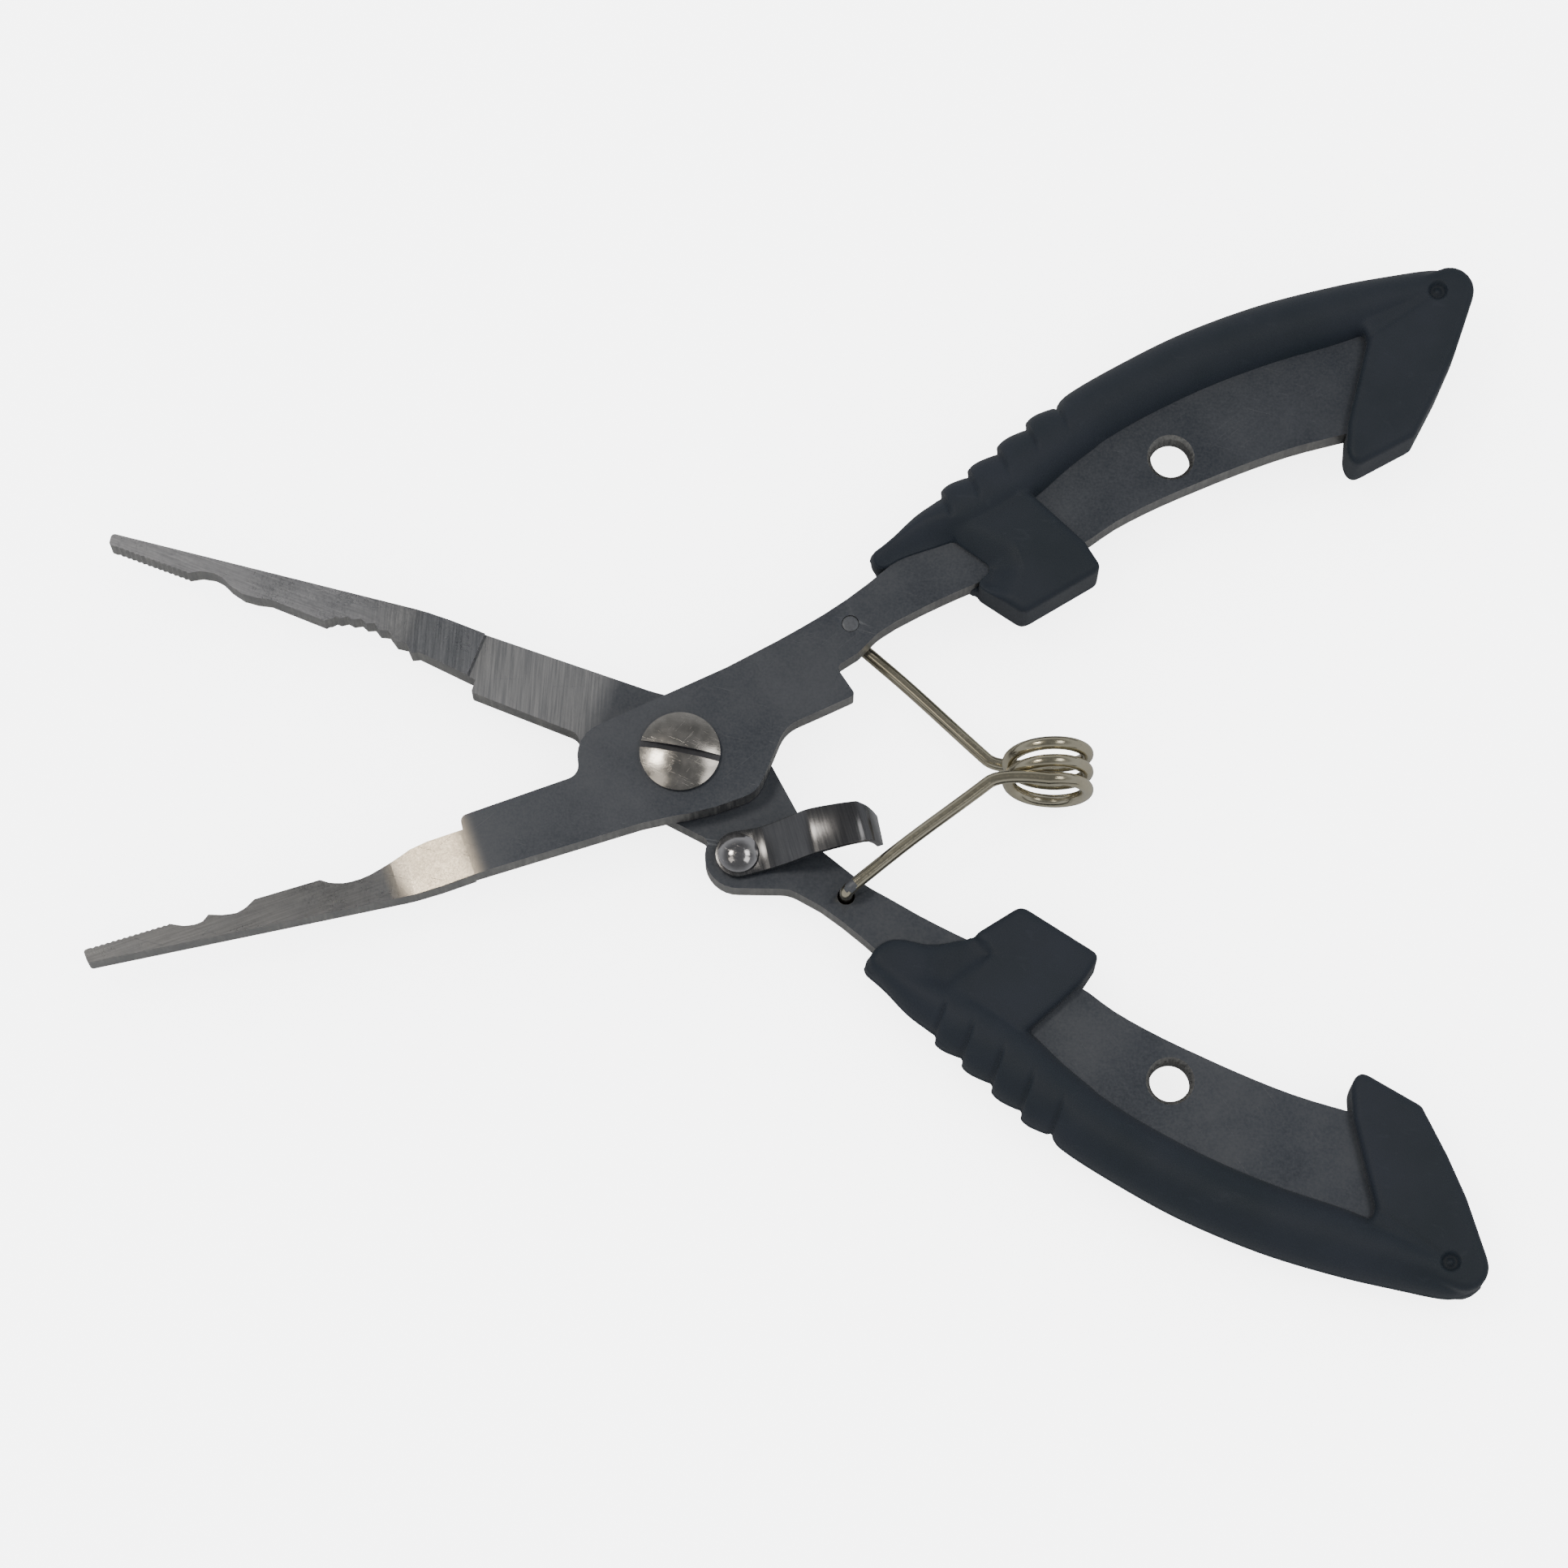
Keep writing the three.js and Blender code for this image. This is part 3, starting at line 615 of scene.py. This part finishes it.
def add_roll(bm):
    """The rounded back of the grip, lofted between its outer edge and its inner crease."""
    count, sides = 300, 64
    outer = spline([Vector((*o, 0)) for o, _ in BACK], count)
    inner = spline([Vector((*i, 0)) for _, i in BACK], count)
    loops = []
    for step, (out, inn) in enumerate(zip(outer, inner)):
        centre = (out + inn) / 2
        reach = (out - inn) / 2
        at = step / count
        high = ROLL_HALF * (0.72 + 0.28 * smooth_step(at, 0.0, 0.3)) * (1 - 0.3 * smooth_step(at, 0.82, 0.97))
        ring = []
        for k in range(sides):
            angle = 2 * math.pi * k / sides
            place = centre + reach * math.cos(angle) + Vector((0, 0, high * math.sin(angle)))
            fade = 1 - smooth_step(abs(math.degrees(math.atan2(math.sin(angle), math.cos(angle)))), 35, 100)
            place += reach.normalized() * (rib_rise(place.x) * fade)
            ring.append(bm.verts.new(place))
        loops.append(ring)
    for low, high in zip(loops, loops[1:]):
        for k in range(sides):
            j = (k + 1) % sides
            bm.faces.new([low[k], low[j], high[j], high[k]])
    for loop, away in ((loops[0], -1.0), (loops[-1], 1.0)):
        add_cap(bm, loop, away)


def add_cap(bm, loop, away):
    """A rounded end on the roll."""
    centre = sum((vert.co for vert in loop), Vector()) / len(loop)
    along = (loop[1].co - loop[0].co).cross(loop[2].co - loop[0].co).normalized()
    if along.x * away < 0:
        along = -along
    along = Vector((along.x, along.y, 0)).normalized()
    previous = loop
    for t in (0.35, 0.65, 0.86, 0.97):
        inset = math.sqrt(1 - t * t)
        out = along * CAP_DEPTH * t
        ring = [bm.verts.new(centre + (vert.co - centre) * inset + out) for vert in loop]
        for k in range(len(loop)):
            j = (k + 1) % len(loop)
            bm.faces.new([previous[k], previous[j], ring[j], ring[k]])
        previous = ring
    bm.faces.new(previous)


def add_block(bm, outline, bottom, top, edge):
    """A slab with rounded edges, for the guard, the hook, the web and the nose."""
    low = [bm.verts.new((x, y, bottom)) for x, y in outline]
    high = [bm.verts.new((x, y, top)) for x, y in outline]
    made = [bm.faces.new(low[::-1]), bm.faces.new(high)]
    count = len(outline)
    for i in range(count):
        j = (i + 1) % count
        made.append(bm.faces.new([low[i], low[j], high[j], high[i]]))
    bm.normal_update()
    sharp = math.radians(40)
    edges = [e for e in {e for face in made for e in face.edges} if e.calc_face_angle(0) > sharp]
    round_edges(bm, edges, edge, 4)


def distance_to(line, x, y):
    """From a point to a polyline."""
    best = 1e9
    here = Vector((x, y))
    for a, b in zip(line, line[1:]):
        a, b = Vector(a), Vector(b)
        t = min(1.0, max(0.0, (here - a).dot(b - a) / (b - a).length_squared))
        best = min(best, (here - a.lerp(b, t)).length)
    return best


def grip_solid():
    """One grip about its own middle plane, in millimetres: lofted, merged, softened and shaped; the plate is
    cut out of it later.
    """
    bm = bmesh.new()
    add_roll(bm)
    add_block(bm, GUARD, -FLANK_HALF, FLANK_HALF, 1.1)
    add_block(bm, HOOK, -FLANK_HALF, FLANK_HALF, 1.3)
    add_block(bm, WEB, -WEB_HEIGHT, 0, 0.5)
    add_block(bm, NOSE, -NOSE_HEIGHT, 0, 0.9)
    bmesh.ops.recalc_face_normals(bm, faces=bm.faces)
    raw = scratch_object(bm, "grip_raw")
    merged = scratch_object(modified(raw, "REMESH", mode="VOXEL", voxel_size=VOXEL), "grip_merged")
    soft = modified(merged, "SMOOTH", factor=0.5, iterations=8)
    under_nose = [v for v in soft.verts if v.co.x < 51 and v.co.z < -1.6 and v.co.y > 9.5]
    for _ in range(45):
        bmesh.ops.smooth_vert(
            soft, verts=under_nose, factor=0.5, use_axis_x=True, use_axis_y=True, use_axis_z=True
        )
    shape_grip(soft)
    discard(raw, merged)
    return soft


def dimple(ring):
    """The depth of the pin mark at a distance from its centre: a round recess with a raised dot."""
    return 0.9 * (1 - smooth_step(ring, 1.0, 1.5)) - 0.35 * (1 - smooth_step(ring, 0.2, 0.7))


def ridge(distance, height, width):
    """The height of a fine rounded line at a distance from its middle."""
    return height * math.exp(-((distance / width) ** 2))


def rib_groove(place, normal):
    """The depth of the fine groove that runs in from each notch, at constant x."""
    inward = distance_to([outer for outer, _ in BACK], place.x, place.y)
    fade = (1 - smooth_step(inward, 2.5, 6.0)) * smooth_step(normal.y, -0.6, 0.0)
    nearest = min(abs(place.x - notch) for notch in NOTCHES)
    return ridge(nearest, 0.38 * fade, 0.32)


def shape_grip(bm):
    """Small forms pressed into the moulding: cove, crease, pin mark, seam and rib grooves."""
    crease = [(114.4, 25.3), (119.5, 26.6), (124.6, 27.9)]
    for vert in bm.verts:
        x, y, z = vert.co
        height = abs(z)
        if x < 55 and z > LIP_HALF:
            fall = smooth_step(distance_to(COVE, x, y), -1.0, 4.6)
            height = LIP_HALF + (height - LIP_HALF) * fall
        if x > 113 and height > 2:
            height -= dimple((Vector((x, y)) - PIN_MARK).length)
            height -= ridge(distance_to(crease, x, y), 0.14, 0.35)
        vert.co.z = math.copysign(height, z)
    bm.normal_update()
    for vert in bm.verts:
        place, normal = vert.co.copy(), vert.normal.copy()
        if place.y > 17 and normal.y > 0.3 and abs(normal.z) < 0.6:
            place += normal * ridge(place.z, 0.16, 0.35)
        if 46 < place.x < 71 and place.y > 14:
            place -= normal * rib_groove(place, normal)
        vert.co = place


def add_grip(half, solid):
    bm = solid.copy()
    lift = Matrix.Translation((0, 0, PLATE_MIDDLE / MM))
    bmesh.ops.transform(bm, matrix=TURN[half] @ lift, verts=bm.verts)
    pocket = bmesh.new()
    pocket.from_mesh(frame["nodes"][f"{half}_plate"].data)
    bmesh.ops.remove_doubles(pocket, verts=pocket.verts, dist=WELD)
    piece = scratch_object(bm, "grip_uncut")
    cutter = scratch_object(pocket, "grip_cutter")
    cut = modified(piece, "BOOLEAN", object=cutter, operation="DIFFERENCE", solver="EXACT")
    discard(piece, cutter)
    grip = new_object(f"{half}_grip_rubber", finished(cut, f"{half}_grip_rubber", 50), RUBBER)
    flatten_shading(grip)
    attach(grip, f"{half}_half")
    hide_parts(f"{half}_grip")


# ---- screw, nut, rivet, latch ----------------------------------------------------------


def add_turned(name, body, node, material, bm):
    piece = new_object(name, finished(bm, name), material)
    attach(piece, body)
    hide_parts(node)
    return piece


SLOT_WIDTH = 0.95 * MM
SLOT_DEPTH = 1.05 * MM
SLOT_TURN = Matrix.Rotation(math.radians(-10), 4, "Z")


def add_screw():
    low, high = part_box("pivot_screw")
    centre = Vector((PIVOT.x, PIVOT.y, 0))
    radius = (high[0] - low[0]) / 2
    seat = PLATE_TOP + 0.3 * MM
    shank = 3 * MM
    profile = [(0, low[2]), (shank - 0.5 * MM, low[2]), (shank, low[2] + 0.5 * MM)]
    threads = 6
    for i in range(threads):
        at = low[2] + (0.6 + 0.45 * i) * MM
        profile += [(shank - 0.02 * MM, at), (shank - 0.18 * MM, at + 0.2 * MM)]
    profile += [(shank, seat), (radius - 0.1 * MM, seat)]
    rim_height = 0.35 * MM
    profile += rim_arc(radius, seat + 0.12 * MM, 0.12 * MM)
    rise = high[2] - seat - rim_height
    profile += dome(radius, seat + rim_height, rise, 22)
    bm = bmesh.new()
    lathe(bm, profile, centre, 128)
    uncut = scratch_object(bm, "screw_uncut")
    bm = bmesh.new()
    made = bmesh.ops.create_cube(bm, size=1.0)["verts"]
    blade_height = 4 * MM
    slot_size = Matrix.Diagonal((16 * MM, SLOT_WIDTH, blade_height, 1))
    above = Vector((0, 0, high[2] - SLOT_DEPTH + blade_height / 2))
    place = Matrix.Translation(centre + above) @ SLOT_TURN
    bmesh.ops.transform(bm, matrix=place @ slot_size, verts=made)
    blade = scratch_object(bm, "screw_blade")
    bm = modified(uncut, "BOOLEAN", object=blade, operation="DIFFERENCE", solver="EXACT")
    discard(uncut, blade)
    bm.normal_update()
    to_slot = SLOT_TURN.inverted() @ Matrix.Translation(-centre)
    # Faces inside the slot take painted shade, a near-black steel.
    for face in bm.faces:
        middle = to_slot @ face.calc_center_median()
        in_slot = abs(middle.y) < SLOT_WIDTH * 0.51 and middle.z > seat
        steep = abs(face.normal.z) < 0.2 or middle.z < high[2] - 1.0 * MM
        if in_slot and steep and middle.xy.length < radius - 0.05 * MM:
            face.material_index = 1
    piece = add_turned("pivot_screw_steel", "rear_half", "pivot_screw", POLISHED, bm)
    piece.data.materials.append(SHADED)


def add_nut():
    bm = node_copy("pivot_nut")
    sharp = math.radians(25)
    edges = [e for e in bm.edges if e.calc_face_angle(0) > sharp and e.calc_length() > MM]
    round_edges(bm, edges, 0.18 * MM, 3)
    split_large_faces(bm)
    add_turned("pivot_nut_steel", "rear_half", "pivot_nut", POLISHED, bm)


def add_rivet():
    low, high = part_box("latch_rivet")
    centre = Vector(((low[0] + high[0]) / 2, (low[1] + high[1]) / 2, 0))
    radius = (high[0] - low[0]) / 2
    shank, tail_radius = 1.5 * MM, 2.6 * MM
    seat = 1.45 * MM
    tail_seat = -PLATE_TOP - 0.3 * MM
    tail = dome(tail_radius, 0, 0.7 * MM, 10)
    profile = [(r, tail_seat - 0.2 * MM - h) for r, h in reversed(tail)]
    profile += [(tail_radius, tail_seat), (shank, tail_seat), (shank, seat), (radius - 0.1 * MM, seat)]
    profile += rim_arc(radius, seat + 0.1 * MM, 0.1 * MM)
    profile += dome(radius, seat + 0.15 * MM, high[2] - seat - 0.15 * MM, 20)
    bm = bmesh.new()
    lathe(bm, profile, centre, 96)
    add_turned("latch_rivet_steel", "rear_half", "latch_rivet", MIRROR, bm)


def add_latch():
    bm = node_copy("latch_strip")
    edges = [e for e in bm.edges if e.calc_face_angle(0) > math.radians(40)]
    round_edges(bm, edges, 0.14 * MM, 2)
    split_large_faces(bm)
    piece = new_object("latch_strip_steel", finished(bm, "latch_strip_steel", 32), ROLLED)
    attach(piece, "latch")
    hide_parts("latch_strip")


# ---- return spring ---------------------------------------------------------------------

# In millimetres about the pivot, with the tool at rest.
WIRE_RADIUS = 0.95
PEENED = (1.24, 1.24, 1.24, 1.2)  # how far the wire's ends are spread to fill their bores
SPRING_HOLE = Vector((29.25, -9.95, 0))  # in the rear plate of a closed tool
LEG_HEIGHT = 2.9
COIL_X = 52.4
COIL_RADIUS = 5.6
COIL_HALF_WIDTH = 3.3
COIL_LEAN = 0.73
COIL_SAG = 0.8
SAG_FROM, SAG_TO = 30, 46
HALF_TURNS = 2.5  # in each half of the wire
FOOT_END = -4.05  # just inside the plate's outer face


def half_wire():
    """The wire's path from its foot in the rear plate to the coil's middle, about the pivot."""
    foot = Matrix.Rotation(-OPEN_ANGLE, 3, "Z") @ SPRING_HOLE
    bend = Vector((foot.x, foot.y, LEG_HEIGHT))
    start = Vector((COIL_X, COIL_LEAN - COIL_HALF_WIDTH, COIL_RADIUS))
    elbow = Vector((COIL_X - 6.9, -1.7, COIL_RADIUS - 0.6))
    bottom = Vector((foot.x, foot.y, FOOT_END))
    leg = (elbow - bend).normalized()
    down = bend + Vector((0, 0, -1.3))
    along = bend + leg * 1.6
    near = elbow - leg * 2.2
    path = [bottom.lerp(down, i / 6) for i in range(6)]
    path += bezier(down, bend, along, 10)
    path += [along.lerp(near, i / 12) for i in range(1, 12)]
    path += bezier(near, elbow, start, 16)
    steps = 110
    for i in range(1, steps + 1):
        angle = math.pi * HALF_TURNS * i / steps
        x = COIL_X + COIL_RADIUS * math.sin(angle)
        y = COIL_LEAN * math.cos(angle) - COIL_HALF_WIDTH * (1 - i / steps)
        path.append(Vector((x, y, COIL_RADIUS * math.cos(angle))))
    return path


def sagged(point):
    """The coil hangs a little towards the rear half."""
    return point - Vector((0, COIL_SAG * smooth_step(point.x, SAG_FROM, SAG_TO), 0))


def add_spring():
    """One wire from plate to plate, built fixed in one pose; on the real tool it bends at the coil as the
    pliers close.
    """
    first = half_wire()
    other = [Vector((p.x, -p.y, -p.z)) for p in reversed(first[:-1])]
    path = [PIVOT + sagged(point) * MM for point in first + other]
    bm = bmesh.new()
    swept(bm, path, WIRE_RADIUS * MM, 20, PEENED)
    for face in bm.faces:
        middle = face.calc_center_median()
        at_wire_end = abs(middle.z) > 3.3 * MM and middle.x < path[0].x + 1.5 * MM
        face.material_index = 1 if at_wire_end else 0
    piece = new_object("return_spring_wire", finished(bm, "return_spring_wire", 50), WIRE, PEEN)
    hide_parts("spring_rear_half", "spring_front_half")
    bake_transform(piece)


# ---- stage -----------------------------------------------------------------------------


def add_floor():
    bm = bmesh.new()
    low = cad_box[0][2] - 0.2 * MM
    corners = [(-3, -3), (3, -3), (3, 3), (-3, 3)]
    bm.faces.new([bm.verts.new((x, y, low)) for x, y in corners])
    mesh = bpy.data.meshes.new("floor")
    bm.to_mesh(mesh)
    bm.free()
    n = Nodes("floor_paper", 0.9, 0.0)
    fibre = n.noise(n.stretched((900, 900, 900)), 2.0)
    paper = n.mix(fibre, (0.93, 0.93, 0.93), (0.96, 0.96, 0.96))
    # The camera sees a bright sheet, which throws little light back on the tool's sides.
    seen = n.tree.nodes.new("ShaderNodeLightPath").outputs["Is Camera Ray"]
    n.color(n.mix(seen, (0.22, 0.22, 0.22), paper))
    n.shader.inputs["Emission Color"].default_value = (1, 1, 1, 1)
    n.link(n.maths("MULTIPLY", seen, 4.0), n.shader.inputs["Emission Strength"])
    floor = new_object("floor", mesh, n.material)


def add_panel(name, direction, size, power, color):
    """A soft box that faces the tool, in a direction from the frame's origin."""
    distance = 1.1
    light = bpy.data.lights.new(name, "AREA")
    light.shape = "RECTANGLE"
    light.size, light.size_y = size
    light.energy = power
    light.color = color
    lamp = bpy.data.objects.new(name, light)
    place = Vector(direction).normalized() * distance
    lamp.location = place
    lamp.rotation_euler = place.to_track_quat("Z", "Y").to_euler()
    bpy.context.scene.collection.objects.link(lamp)


def light_stage():
    world = bpy.data.worlds.new("studio")
    bpy.context.scene.world = world
    world.use_nodes = True
    background = world.node_tree.nodes["Background"]
    background.inputs["Color"].default_value = (0.95, 0.97, 1.0, 1)
    # Steel sees a dim ceiling and pale walls, while the floor and the rubber get an even light.
    nodes, link = world.node_tree.nodes, world.node_tree.links.new
    apart = nodes.new("ShaderNodeSeparateXYZ")
    link(nodes.new("ShaderNodeTexCoord").outputs["Generated"], apart.inputs[0])
    walls, ceiling, daylight = 0.5, 0.16, 2.2
    room = nodes.new("ShaderNodeMapRange")
    room.interpolation_type = "SMOOTHSTEP"
    room.inputs["From Min"].default_value = 0.4
    room.inputs["From Max"].default_value = 0.8
    room.inputs["To Min"].default_value = walls
    room.inputs["To Max"].default_value = ceiling
    link(apart.outputs["Z"], room.inputs["Value"])
    level = nodes.new("ShaderNodeMapRange")
    level.inputs["To Min"].default_value = daylight
    link(room.outputs["Result"], level.inputs["To Max"])
    link(nodes.new("ShaderNodeLightPath").outputs["Is Glossy Ray"], level.inputs["Value"])
    link(level.outputs["Result"], background.inputs["Strength"])
    warm, neutral = (1.0, 0.93, 0.82), (1.0, 0.98, 0.95)
    add_panel("left_upper", (-0.42, 0.14, 0.9), (0.24, 0.22), 2.4, warm)
    add_panel("left_lower", (-0.4, -0.25, 0.89), (0.3, 0.3), 0.32, warm)
    add_panel("right_upper", (0.5, 0.165, 0.85), (0.34, 0.26), 0.9, neutral)
    add_panel("right_lower", (0.5, -0.21, 0.84), (0.34, 0.31), 0.65, neutral)


def add_camera():
    """Seen from above and a little from the near side, with a long lens."""
    data = bpy.data.cameras.new("camera")
    data.sensor_width = 36
    data.lens = 121.06
    data.clip_start = 0.05
    camera = bpy.data.objects.new("camera", data)
    tilt = Euler([math.radians(angle) for angle in (15.759, -0.092, 0.991)])
    place = PIVOT + Vector((17.2, -207.3, 723.1)) * MM
    camera.matrix_world = Matrix.Translation(place) @ tilt.to_matrix().to_4x4()
    bpy.context.scene.collection.objects.link(camera)
    bpy.context.scene.camera = camera


# ---- build -----------------------------------------------------------------------------

CUT_AND_RIM_HIGHLIGHT = cut_steel_and_rim_highlight("cut_steel_and_rim_highlight")
SHADED = plain_steel("slot_shade", (0.03, 0.03, 0.032), 0.6)
POLISHED = polished_steel("polished_steel", (0.42, 0.4, 0.365), (0.52, 0.49, 0.45), 0.17)
MIRROR = polished_steel("rivet_steel", (0.42, 0.41, 0.42), (0.52, 0.51, 0.51), 0.1)
ROLLED = rolled_steel("rolled_steel", math.radians(-17))
PEEN = plain_steel("peened_end", (0.05, 0.052, 0.056), 0.45)
WIRE = drawn_wire("spring_wire")
RUBBER = soft_rubber("soft_rubber")

add_plate("front")
add_plate("rear")
grip_shape = grip_solid()
add_grip("front", grip_shape)
add_grip("rear", grip_shape)
add_screw()
add_nut()
add_rivet()
add_latch()
add_spring()
add_floor()
light_stage()
add_camera()
